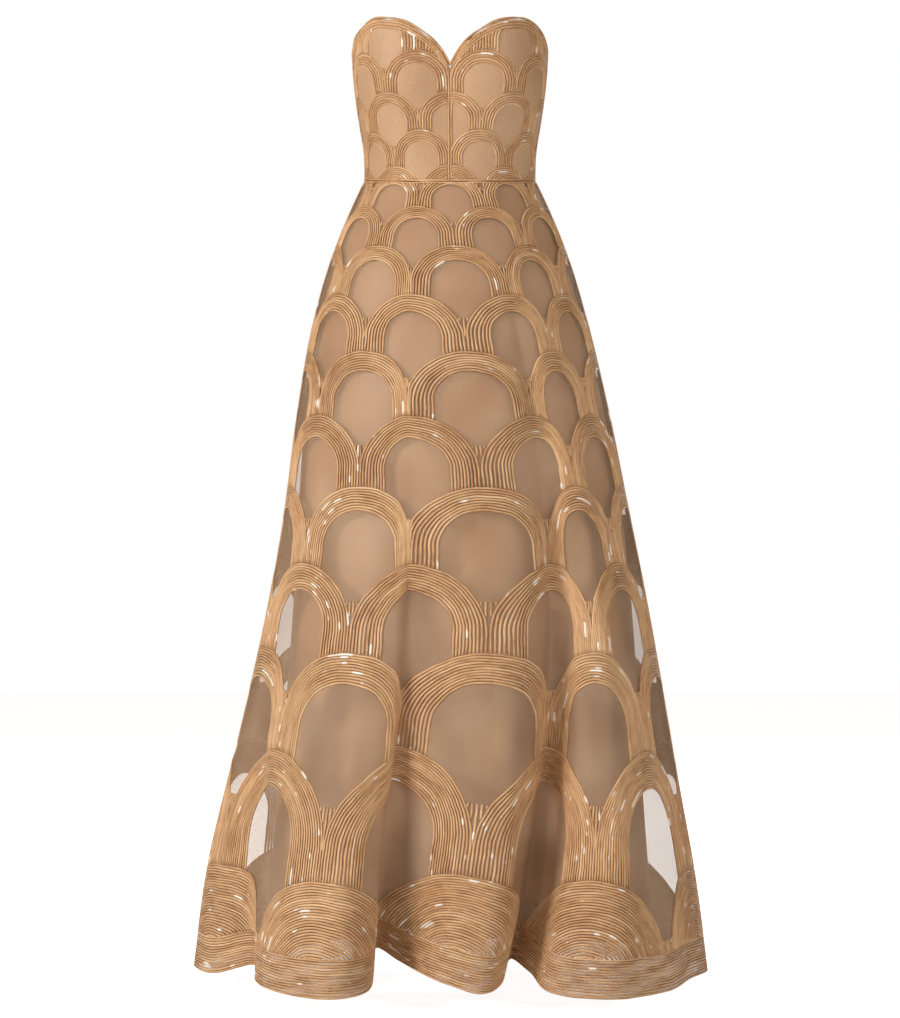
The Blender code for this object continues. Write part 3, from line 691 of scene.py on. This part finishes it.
def cloth_sheet(name, panel, across, along, rise, wall):
    """One panel of cloth laid on the form, with a wall where it is given one."""
    left, right = panel["columns"]
    mesh, column, row = grid_mesh(across, along)
    a = left + (right - left) * column / (across - 1)
    top = panel["top"](a)
    b = top + (panel["foot"](a) - top) * row / (along - 1)
    surface, normals = lay(panel, a, b)
    girth = by_row(panel["map"], "girth", b)
    uv = np.stack([(a - (left + right) / 2) / COLUMNS * girth, by_row(panel["map"], "run", b)], axis=1)
    set_places(mesh, surface + normals * rise, uv)
    bm = take_mesh(mesh)
    face_outward(bm)
    piece = to_object(name, bm, smooth=True)
    if wall:
        shell = piece.modifiers.new("wall", "SOLIDIFY")
        shell.thickness = wall
        shell.offset = -1.0
    return piece


def cord_rows(name, panel, cords):
    """Cords of one panel as closed low tubes that lie on its cloth."""
    profile = ((-1.0, 0.0), (-0.62, 0.78), (0.0, 1.0), (0.62, 0.78), (1.0, 0.0), (-1.0, 0.0))
    a = np.concatenate([cord[0] for cord in cords])
    b = np.concatenate([cord[1] for cord in cords])
    half = np.concatenate([np.full(len(cord[0]), cord[2]) for cord in cords]) * CORD_FILL
    sizes = np.array([len(cord[0]) for cord in cords])
    ends = np.cumsum(sizes)
    number = np.repeat(np.arange(len(cords)), sizes)
    surface, normals = lay(panel, a, b)
    after = np.minimum(np.arange(len(a)) + 1, ends[number] - 1)
    before = np.maximum(np.arange(len(a)) - 1, (ends - sizes)[number])
    ahead = surface[after] - surface[before]
    across = np.cross(ahead, normals)
    across = across / np.maximum(np.linalg.norm(across, axis=1), 1e-12)[:, None]
    # laid by hand: neighbouring cords wander together by a fraction of a millimetre
    side, rise = surface[:, 0], surface[:, 2]
    wander = np.sin(190 * side + 120 * rise) + np.sin(260 * rise - 90 * side)
    surface = surface + across * (CORD_WANDER * wander)[:, None]
    step = np.linalg.norm(surface - surface[before], axis=1)
    along = np.cumsum(step)
    taper = np.ones(len(a))
    taper[ends - 1] = 0.85
    taper[ends - sizes] = 0.85
    height = panel["wall"] + CORD_RISE - CORD_BASE
    mesh, column, row = grid_mesh(len(profile), len(a))
    shape = np.array(profile)[column]
    wide = (shape[:, 0] * half[row] * taper[row])[:, None] * across[row]
    tall = (CORD_BASE + shape[:, 1] * height * taper[row])[:, None] * normals[row]
    uv = np.stack([along[row], number[row] * CORD_LANE + column * MID_LANE / 2], axis=1)
    set_places(mesh, surface[row] + wide + tall, uv)
    corner = np.empty(len(mesh.loops), dtype=np.int32)
    mesh.loops.foreach_get("vertex_index", corner)
    quads = number[row[corner]].reshape(-1, 4)
    links = np.flatnonzero(quads.max(axis=1) != quads.min(axis=1))
    bm = take_mesh(mesh)
    bm.faces.ensure_lookup_table()
    bmesh.ops.delete(bm, geom=[bm.faces[int(k)] for k in links], context="FACES")
    close_cords(bm, 1e-6)
    return to_object(name, bm, smooth=True)


def twisted_cord(name, centres, normals, radius, lay_length, sides=6, strands=2):
    """A closed ring of cord twisted from two plies."""
    closed = np.vstack([centres, centres[:1]])
    run = np.concatenate([[0.0], np.cumsum(np.linalg.norm(np.diff(closed, axis=0), axis=1))])
    turns = int(round(run[-1] / lay_length))
    count = turns * max(9, int(lay_length / CORD_STEP))
    places = np.linspace(0, run[-1], count, endpoint=False)
    middle = np.stack([np.interp(places, run, column) for column in closed.T], axis=1)
    ring = np.vstack([normals, normals[:1]])
    out = np.stack([np.interp(places, run, column) for column in ring.T], axis=1)
    ahead = np.roll(middle, -1, axis=0) - np.roll(middle, 1, axis=0)
    ahead = ahead / np.linalg.norm(ahead, axis=1)[:, None]
    aside = np.cross(ahead, out)
    aside = aside / np.linalg.norm(aside, axis=1)[:, None]
    out = np.cross(aside, ahead)
    bm = bmesh.new()
    for strand in range(strands):
        mesh, column, row = grid_mesh(sides + 1, count + 1)
        place = row % count
        swing = 2 * np.pi * (turns * place / count + strand / strands)
        centre = middle[place] + radius / 2 * (
            np.cos(swing)[:, None] * out[place] + np.sin(swing)[:, None] * aside[place])
        turn = 2 * np.pi * (column % sides) / sides
        points = centre + radius / 2 * (
            np.cos(turn)[:, None] * out[place] + np.sin(turn)[:, None] * aside[place])
        uv = np.stack([row * run[-1] / count, strand * CORD_LANE + MID_LANE + column * 1e-5], axis=1)
        set_places(mesh, points, uv)
        bm.from_mesh(mesh)
        bpy.data.meshes.remove(mesh)
    close_cords(bm, 1e-7)
    return to_object(name, bm, smooth=True)


# Materials

def new_material(name):
    material = bpy.data.materials.new(name)
    material.use_nodes = True
    return material, material.node_tree, material.node_tree.nodes["Principled BSDF"]


def math(tree, operation, one, two=0.0, clamp=False):
    """A maths node on sockets or plain numbers; gives its output."""
    node = tree.nodes.new("ShaderNodeMath")
    node.operation = operation
    node.use_clamp = clamp
    for socket, value in zip(node.inputs, (one, two)):
        if isinstance(value, (int, float)):
            socket.default_value = value
        else:
            tree.links.new(value, socket)
    return node.outputs[0]


def noise(tree, vector, scale, detail=2.0):
    node = tree.nodes.new("ShaderNodeTexNoise")
    node.inputs["Scale"].default_value = scale
    node.inputs["Detail"].default_value = detail
    tree.links.new(vector, node.inputs["Vector"])
    return node.outputs["Fac"]


def ramp(tree, value, stops):
    node = tree.nodes.new("ShaderNodeValToRGB")
    band = node.color_ramp
    while len(band.elements) < len(stops):
        band.elements.new(0.5)
    for element, (place, colour) in zip(band.elements, stops):
        element.position = place
        element.color = (*colour, 1.0)
    tree.links.new(value, node.inputs["Fac"])
    return node.outputs["Color"]


def mix(tree, share, one, two):
    node = tree.nodes.new("ShaderNodeMix")
    node.data_type = "RGBA"
    for socket, value in ((node.inputs[0], share), (node.inputs[6], one), (node.inputs[7], two)):
        if isinstance(value, (int, float)):
            socket.default_value = value
        elif isinstance(value, tuple):
            socket.default_value = (*value, 1.0)
        else:
            tree.links.new(value, socket)
    return node.outputs[2]


def bump(tree, height, strength, distance):
    node = tree.nodes.new("ShaderNodeBump")
    node.inputs["Strength"].default_value = strength
    node.inputs["Distance"].default_value = distance
    tree.links.new(height, node.inputs["Height"])
    return node.outputs["Normal"]


def spread(tree, value, low, high):
    """Maps 0 to 1 onto low to high."""
    return math(tree, "ADD", math(tree, "MULTIPLY", value, high - low), low)


def weave_height(tree, uv, pitch):
    """Threads over and under each other, 0 to 1."""
    parts = tree.nodes.new("ShaderNodeSeparateXYZ")
    tree.links.new(uv, parts.inputs[0])
    waves = []
    for axis in (0, 1):
        turn = math(tree, "MULTIPLY", parts.outputs[axis], 2 * np.pi / pitch)
        waves.append(math(tree, "SINE", turn))
    return spread(tree, math(tree, "MULTIPLY", waves[0], waves[1]), 0.5, 1.0)


def cloth_material(name, dark, light, weave, roughness, sheen, stitch=None):
    """Woven cloth: weave, soft colour drift, slubs, varying roughness and, where given, a hem stitch."""
    material, tree, shader = new_material(name)
    places = tree.nodes.new("ShaderNodeTexCoord")
    drift = noise(tree, places.outputs["Object"], 9.0, 3.0)
    threads = weave_height(tree, places.outputs["UV"], weave)
    slub = noise(tree, places.outputs["UV"], 420.0, 1.0)
    tone = math(tree, "ADD", math(tree, "MULTIPLY", drift, 0.6), math(tree, "MULTIPLY", slub, 0.4))
    colour = ramp(tree, tone, ((0.30, dark), (0.68, light)))
    tree.links.new(colour, shader.inputs["Base Color"])
    tree.links.new(spread(tree, slub, roughness - 0.10, roughness + 0.12), shader.inputs["Roughness"])
    height = math(tree, "ADD", threads, math(tree, "MULTIPLY", slub, 0.6))
    if stitch is not None:
        parts = tree.nodes.new("ShaderNodeSeparateXYZ")
        tree.links.new(places.outputs["UV"], parts.inputs[0])
        away = math(tree, "ABSOLUTE", math(tree, "SUBTRACT", parts.outputs[1], stitch))
        line = math(tree, "LESS_THAN", away, STITCH_HALF_WIDTH)
        run = math(tree, "SINE", math(tree, "MULTIPLY", parts.outputs[0], 2 * np.pi / STITCH_LENGTH))
        dash = math(tree, "MULTIPLY", line, math(tree, "GREATER_THAN", run, -0.4))
        height = math(tree, "SUBTRACT", height, math(tree, "MULTIPLY", dash, 3.0))
        colour = mix(tree, math(tree, "MULTIPLY", dash, 0.45), colour, dark)
        tree.links.new(colour, shader.inputs["Base Color"])
    tree.links.new(bump(tree, height, 0.35, 0.0002), shader.inputs["Normal"])
    shader.inputs["Sheen Weight"].default_value = sheen
    shader.inputs["Sheen Roughness"].default_value = 0.4
    return material


def net_material(name):
    """Sheer net: fine crossing threads over clear holes."""
    material, tree, shader = new_material(name)
    places = tree.nodes.new("ShaderNodeTexCoord")
    parts = tree.nodes.new("ShaderNodeSeparateXYZ")
    tree.links.new(places.outputs["UV"], parts.inputs[0])
    lines = []
    for factor in (1.0, -1.0):
        slant = math(tree, "ADD", parts.outputs[0], math(tree, "MULTIPLY", parts.outputs[1], factor))
        wave = math(tree, "SINE", math(tree, "MULTIPLY", slant, 2 * np.pi / NET_THREAD))
        lines.append(math(tree, "GREATER_THAN", wave, 0.72))
    threads = math(tree, "MAXIMUM", lines[0], lines[1])
    drift = noise(tree, places.outputs["Object"], 14.0, 3.0)
    alpha = math(tree, "ADD", math(tree, "MULTIPLY", threads, 0.42), spread(tree, drift, 0.20, 0.32))
    tree.links.new(alpha, shader.inputs["Alpha"])
    tree.links.new(ramp(tree, drift, ((0.3, (0.54, 0.33, 0.19)), (0.7, (0.68, 0.46, 0.29)))),
                   shader.inputs["Base Color"])
    tree.links.new(spread(tree, drift, 0.45, 0.70), shader.inputs["Roughness"])
    tree.links.new(bump(tree, threads, 0.3, 0.0002), shader.inputs["Normal"])
    return material


def cord_material(name):
    """Rolled cord: twist lines, tan to cream along its length, painted shade in the gaps between cords
    and short glints painted pale as highlights where the cord is also glossier.
    """
    material, tree, shader = new_material(name)
    places = tree.nodes.new("ShaderNodeTexCoord")
    parts = tree.nodes.new("ShaderNodeSeparateXYZ")
    tree.links.new(places.outputs["UV"], parts.inputs[0])
    slant = math(tree, "ADD", parts.outputs[0], math(tree, "MULTIPLY", parts.outputs[1], 0.8))
    plies = math(tree, "SINE", math(tree, "MULTIPLY", slant, 2 * np.pi / CORD_PLY))
    twist = spread(tree, plies, 0.5, 1.0)
    drift = noise(tree, places.outputs["Object"], 7.0, 3.0)
    patch = noise(tree, places.outputs["UV"], 46.0, 2.0)
    # painted highlight: the stretched dash noise, thinned out away from clusters, picks short stretches
    # of cord that are painted pale cream as glints; the roughness drops there too
    stretch = tree.nodes.new("ShaderNodeCombineXYZ")
    tree.links.new(math(tree, "MULTIPLY", parts.outputs[0], 34.0), stretch.inputs[0])
    tree.links.new(math(tree, "MULTIPLY", parts.outputs[1], 37.0), stretch.inputs[1])
    dash = noise(tree, stretch.outputs[0], 1.0, 0.0)
    cluster = noise(tree, places.outputs["Object"], 11.0, 1.0)
    limit = spread(tree, cluster, 0.92, 0.58)
    painted_glint = math(tree, "MULTIPLY", math(tree, "SUBTRACT", dash, limit), 24.0, True)
    tone = math(tree, "ADD", math(tree, "MULTIPLY", drift, 0.4), math(tree, "MULTIPLY", patch, 0.6))
    stops = ((0.28, (0.36, 0.162, 0.056)), (0.50, (0.58, 0.315, 0.138)), (0.72, (0.74, 0.455, 0.235)))
    base = ramp(tree, tone, stops)
    # each cord has its own lighter stretches, and painted shade along its two sides stands for the
    # shaded gaps to the next cord, deeper on some stretches than on others
    reach = tree.nodes.new("ShaderNodeCombineXYZ")
    tree.links.new(math(tree, "MULTIPLY", parts.outputs[0], 9.0), reach.inputs[0])
    tree.links.new(math(tree, "MULTIPLY", parts.outputs[1], 41.0), reach.inputs[1])
    own = noise(tree, reach.outputs[0], 1.0, 1.0)
    pale = math(tree, "MULTIPLY", math(tree, "SUBTRACT", own, 0.50), 2.6, True)
    base = mix(tree, pale, base, (0.84, 0.57, 0.32))
    # painted shade: the two sides of each cord are darkened toward deep brown, as the shade in the gaps
    # between cords, more on some stretches than others
    lane = math(tree, "MODULO", parts.outputs[1], CORD_LANE)
    aside = math(tree, "ABSOLUTE", math(tree, "SUBTRACT", math(tree, "DIVIDE", lane, MID_LANE), 1.0))
    edge = math(tree, "MULTIPLY", math(tree, "SUBTRACT", aside, 0.45), 1.6, True)
    depth = math(tree, "MULTIPLY", math(tree, "SUBTRACT", 0.72, own), 2.2, True)
    base = mix(tree, math(tree, "MULTIPLY", edge, depth), base, (0.21, 0.085, 0.030))
    # the pale cream glint colour is a painted highlight
    tree.links.new(mix(tree, painted_glint, base, (0.93, 0.84, 0.72)), shader.inputs["Base Color"])
    tree.links.new(spread(tree, painted_glint, 0.52, 0.22), shader.inputs["Roughness"])
    height = math(tree, "ADD", twist, math(tree, "MULTIPLY", patch, 0.4))
    tree.links.new(bump(tree, height, 0.4, 0.0003), shader.inputs["Normal"])
    shader.inputs["Sheen Weight"].default_value = 0.1
    return material


# Camera, light and floor

def add_camera():
    data = bpy.data.cameras.new("camera")
    data.sensor_width = SENSOR_WIDTH
    data.lens = SENSOR_WIDTH * CAMERA_DISTANCE * PIXELS_PER_METRE / PICTURE_HEIGHT
    data.clip_end = 50.0
    camera = bpy.data.objects.new("camera", data)
    camera.location = (0.0, -CAMERA_DISTANCE, CAMERA_HEIGHT)
    camera.rotation_euler = (np.pi / 2, 0.0, 0.0)
    bpy.context.scene.collection.objects.link(camera)
    bpy.context.scene.camera = camera


def add_lights():
    world = bpy.data.worlds.new("studio")
    world.use_nodes = True
    sky = world.node_tree.nodes["Background"]
    sky.inputs["Color"].default_value = (1.0, 0.80, 0.60, 1.0)
    sky.inputs["Strength"].default_value = WORLD_LIGHT
    paper = world.node_tree.nodes.new("ShaderNodeBackground")
    paper.inputs["Color"].default_value = (1.0, 1.0, 1.0, 1.0)
    paper.inputs["Strength"].default_value = 1.0
    path = world.node_tree.nodes.new("ShaderNodeLightPath")
    blend = world.node_tree.nodes.new("ShaderNodeMixShader")
    world.node_tree.links.new(path.outputs["Is Camera Ray"], blend.inputs[0])
    world.node_tree.links.new(sky.outputs[0], blend.inputs[1])
    world.node_tree.links.new(paper.outputs[0], blend.inputs[2])
    world.node_tree.links.new(blend.outputs[0], world.node_tree.nodes["World Output"].inputs[0])
    bpy.context.scene.world = world
    # name, place, aim, size, power
    for name, place, aim, size, power in (
        ("key", (-2.9, -2.2, 0.7), (0.0, 0.0, -0.40), 1.1, 108.0),
        ("fill", (2.8, -2.6, 0.5), (0.0, 0.0, -0.40), 1.4, 44.0),
        ("top", (0.0, -1.4, 3.0), (0.0, 0.0, -0.2), 1.6, 34.0),
        ("back", (0.6, 3.4, 1.2), (0.0, 0.0, -0.5), 2.0, 58.0),
    ):
        data = bpy.data.lights.new(name, "AREA")
        data.size = size
        data.energy = power
        lamp = bpy.data.objects.new(name, data)
        lamp.location = place
        step = np.array(aim) - np.array(place)
        flat = np.hypot(step[0], step[1])
        lamp.rotation_euler = (np.pi / 2 + np.arctan2(step[2], flat), 0.0, np.arctan2(-step[0], step[1]))
        bpy.context.scene.collection.objects.link(lamp)


def add_floor():
    bm = bmesh.new()
    bmesh.ops.create_grid(bm, x_segments=1, y_segments=1, size=FLOOR_REACH)
    bmesh.ops.translate(bm, verts=bm.verts, vec=(0.0, 0.0, FLOOR_LEVEL))
    floor = to_object("floor", bm)
    material, tree, shader = new_material("floor_paint")
    shader.inputs["Base Color"].default_value = (0.90, 0.90, 0.90, 1.0)
    shader.inputs["Roughness"].default_value = 0.8
    shader.inputs["Emission Color"].default_value = (1.0, 1.0, 1.0, 1.0)
    path = tree.nodes.new("ShaderNodeLightPath")
    glow = spread(tree, path.outputs["Is Camera Ray"], FLOOR_BOUNCE, FLOOR_GLOW)
    tree.links.new(glow, shader.inputs["Emission Strength"])
    floor.data.materials.append(material)


add_camera()
add_lights()
add_floor()
bpy.context.scene.view_settings.view_transform = "Standard"

NET = net_material("sheer_net")
CORD = cord_material("rolled_cord")
SATIN = cloth_material("lining_satin", (0.43, 0.21, 0.095), (0.57, 0.31, 0.155), 0.0007, 0.46, 0.05,
                       stitch=float(LINING_MAP["run"][-1]) - LINING_HEM)
CREPE = cloth_material("bodice_crepe", (0.44, 0.243, 0.125), (0.60, 0.372, 0.208), 0.0008, 0.55, 0.08)
TAPE = cloth_material("zip_tape", (0.45, 0.235, 0.110), (0.58, 0.33, 0.170), 0.0010, 0.62, 0.05)


def finish_piece(piece, material):
    piece.data.materials.append(material)
    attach(piece, "root")
    return piece


def front_segment(cell):
    return float(np.clip(cell * 0.042, 0.0044, 0.0088))


def back_segment(cell):
    return float(np.clip(cell * 0.050, 0.0050, 0.0105))


def add_skirt():
    # node, first turn, last turn, columns of the grid, segment rule, flat width, flat area
    for node, first, last, across, segment, wide, area in (
        ("skirt_front", -0.25, 0.25, 241, front_segment, 1.47, 0.93),
        ("skirt_back_right", 0.25, 0.50, 121, back_segment, 0.74, 0.47),
        ("skirt_back_left", 0.50, 0.75, 121, back_segment, 0.74, 0.47),
    ):
        panel = skirt_plan(first, last)
        net = finish_piece(cloth_sheet(node + "_net", panel, across, 121, NET_RISE, 0.0), NET)
        shells = cord_rows(node + "_shells", panel, shell_cords(panel, segment))
        bands = cord_rows(node + "_bands", panel, band_cords(panel, segment))
        finish_piece(shells, CORD)
        finish_piece(bands, CORD)
        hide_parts(node)


def add_bodice():
    # node, first turn, last turn, flat width, flat length, flat area
    for node, first, last, wide, tall, area in (
        ("bodice_front_right", 0.00, 0.25, 0.21, 0.22, 0.039),
        ("bodice_back_right", 0.25, 0.50, 0.18, 0.17, 0.026),
        ("bodice_back_left", 0.50, 0.75, 0.18, 0.17, 0.026),
        ("bodice_front_left", 0.75, 1.00, 0.21, 0.22, 0.039),
    ):
        panel = bodice_plan(first, last)
        cloth = cloth_sheet(node + "_cloth", panel, 61, 61, BODICE_RISE, BODICE_CLOTH)
        finish_piece(cloth, CREPE)
        cords = shell_cords(panel, back_segment) + band_cords(panel, back_segment)
        rows = finish_piece(cord_rows(node + "_cords", panel, cords), CORD)
        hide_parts(node)


def add_lining():
    # node, first turn, last turn, flat width, flat area
    for node, first, last, wide, area in (
        ("lining_front", -0.25, 0.25, 0.84, 0.62),
        ("lining_back", 0.25, 0.75, 0.84, 0.62),
    ):
        panel = lining_plan(first, last)
        cloth = cloth_sheet(node + "_cloth", panel, 161, 81, LINING_RISE, LINING_CLOTH)
        finish_piece(cloth, SATIN)
        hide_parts(node)


def add_neckline_edge():
    turns = np.linspace(0, 1, 289)[:-1]
    heights = neck_height(turns)
    normals = surface_normals(bodice_point, turns, heights)
    edge = bodice_point(turns, heights)
    before = np.cross(edge - np.roll(edge, 1, axis=0), normals)
    after = np.cross(np.roll(edge, -1, axis=0) - edge, normals)
    before = before / np.linalg.norm(before, axis=1)[:, None]
    after = after / np.linalg.norm(after, axis=1)[:, None]
    above = before + after
    above = -above / np.linalg.norm(above, axis=1)[:, None]
    reach = NECK_CORD_RADIUS / np.maximum(np.abs(np.sum(above * after, axis=1)), MITRE_LEAST)
    centres = edge + normals * 0.5 * BODICE_WALL + above * reach[:, None]
    neck = twisted_cord("neckline_edge", centres, normals, NECK_CORD_RADIUS, CORD_TWIST)
    finish_piece(neck, CORD)
    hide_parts("neckline_cord")


def add_waist_edge():
    turns = np.linspace(0, 1, 161)[:-1]
    normals = surface_normals(bodice_point, turns, waist_height(turns))
    lift = BODICE_WALL + CORD_RISE / 2 + WAIST_EDGE_RADIUS
    centres = bodice_point(turns, waist_height(turns)) + normals * lift
    centres = centres + np.array([0, 0, WAIST_CORD_RAISE])
    waist = twisted_cord("waist_edge", centres, normals, WAIST_EDGE_RADIUS, CORD_TWIST)
    finish_piece(waist, CORD)
    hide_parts("waist_cord")


def zip_point(turn, height):
    """The zip tape just inside the centre back, at a height above the origin."""
    turn, height = np.broadcast_arrays(np.asarray(turn, float), np.asarray(height, float))
    upper = bodice_point(turn, np.maximum(height, -0.01))
    down = np.clip((waist_height(0.5) - height) / SKIRT_LENGTH, 0, 1)
    lower = skirt_point(turn, down)
    place = np.array(np.where((height > waist_height(0.5))[..., None], upper, lower))
    place[..., 1] = place[..., 1] - ZIP_WALL - ZIP_CLEARANCE
    place[..., 2] = height
    return place


def add_zip_tape():
    step = ZIP_HALF_WIDTH / WAIST_ROUND
    mesh, column, row = grid_mesh(25, 161)
    turn = 0.5 - step + 2 * step * column / 24
    height = ZIP_TOP + (ZIP_FOOT - ZIP_TOP) * row / 160
    uv = np.stack([(turn - 0.5) * WAIST_ROUND, height], axis=1)
    set_places(mesh, zip_point(turn, height), uv)
    bm = take_mesh(mesh)
    face_outward(bm)
    tape = to_object("zip_tape", bm)
    shell = tape.modifiers.new("wall", "SOLIDIFY")
    shell.thickness = ZIP_TAPE_WALL
    shell.offset = 1.0
    finish_piece(tape, TAPE)
    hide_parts("back_zip")


def add_zip_coil():
    turns = int((ZIP_TOP - ZIP_FOOT) / ZIP_COIL_PITCH)
    count = turns * ZIP_COIL_SIDES
    mesh, column, row = grid_mesh(5, count + 1)
    height = ZIP_TOP - ZIP_COIL_END + (ZIP_FOOT - ZIP_TOP + 2 * ZIP_COIL_END) * row / count
    swing = 2 * np.pi * row / ZIP_COIL_SIDES
    around = 2 * np.pi * (column % 4) / 4
    wire = ZIP_WIRE_RADIUS * np.cos(around)
    points = zip_point(np.full(len(row), 0.5), height)
    points[:, 0] += (ZIP_COIL_RADIUS * 1.6 + wire) * np.cos(swing)
    points[:, 1] += ZIP_WALL + (ZIP_COIL_RADIUS + wire) * (0.1 + 0.7 * np.sin(swing))
    points[:, 2] += ZIP_WIRE_RADIUS * np.sin(around)
    set_places(mesh, points, np.stack([row * 0.0007, MID_LANE + column * 1e-5], axis=1))
    bm = take_mesh(mesh)
    close_cords(bm, 1e-8)
    finish_piece(to_object("zip_coil", bm, smooth=True), CORD)


add_bodice()
add_skirt()
add_lining()
add_neckline_edge()
add_waist_edge()
add_zip_tape()
add_zip_coil()
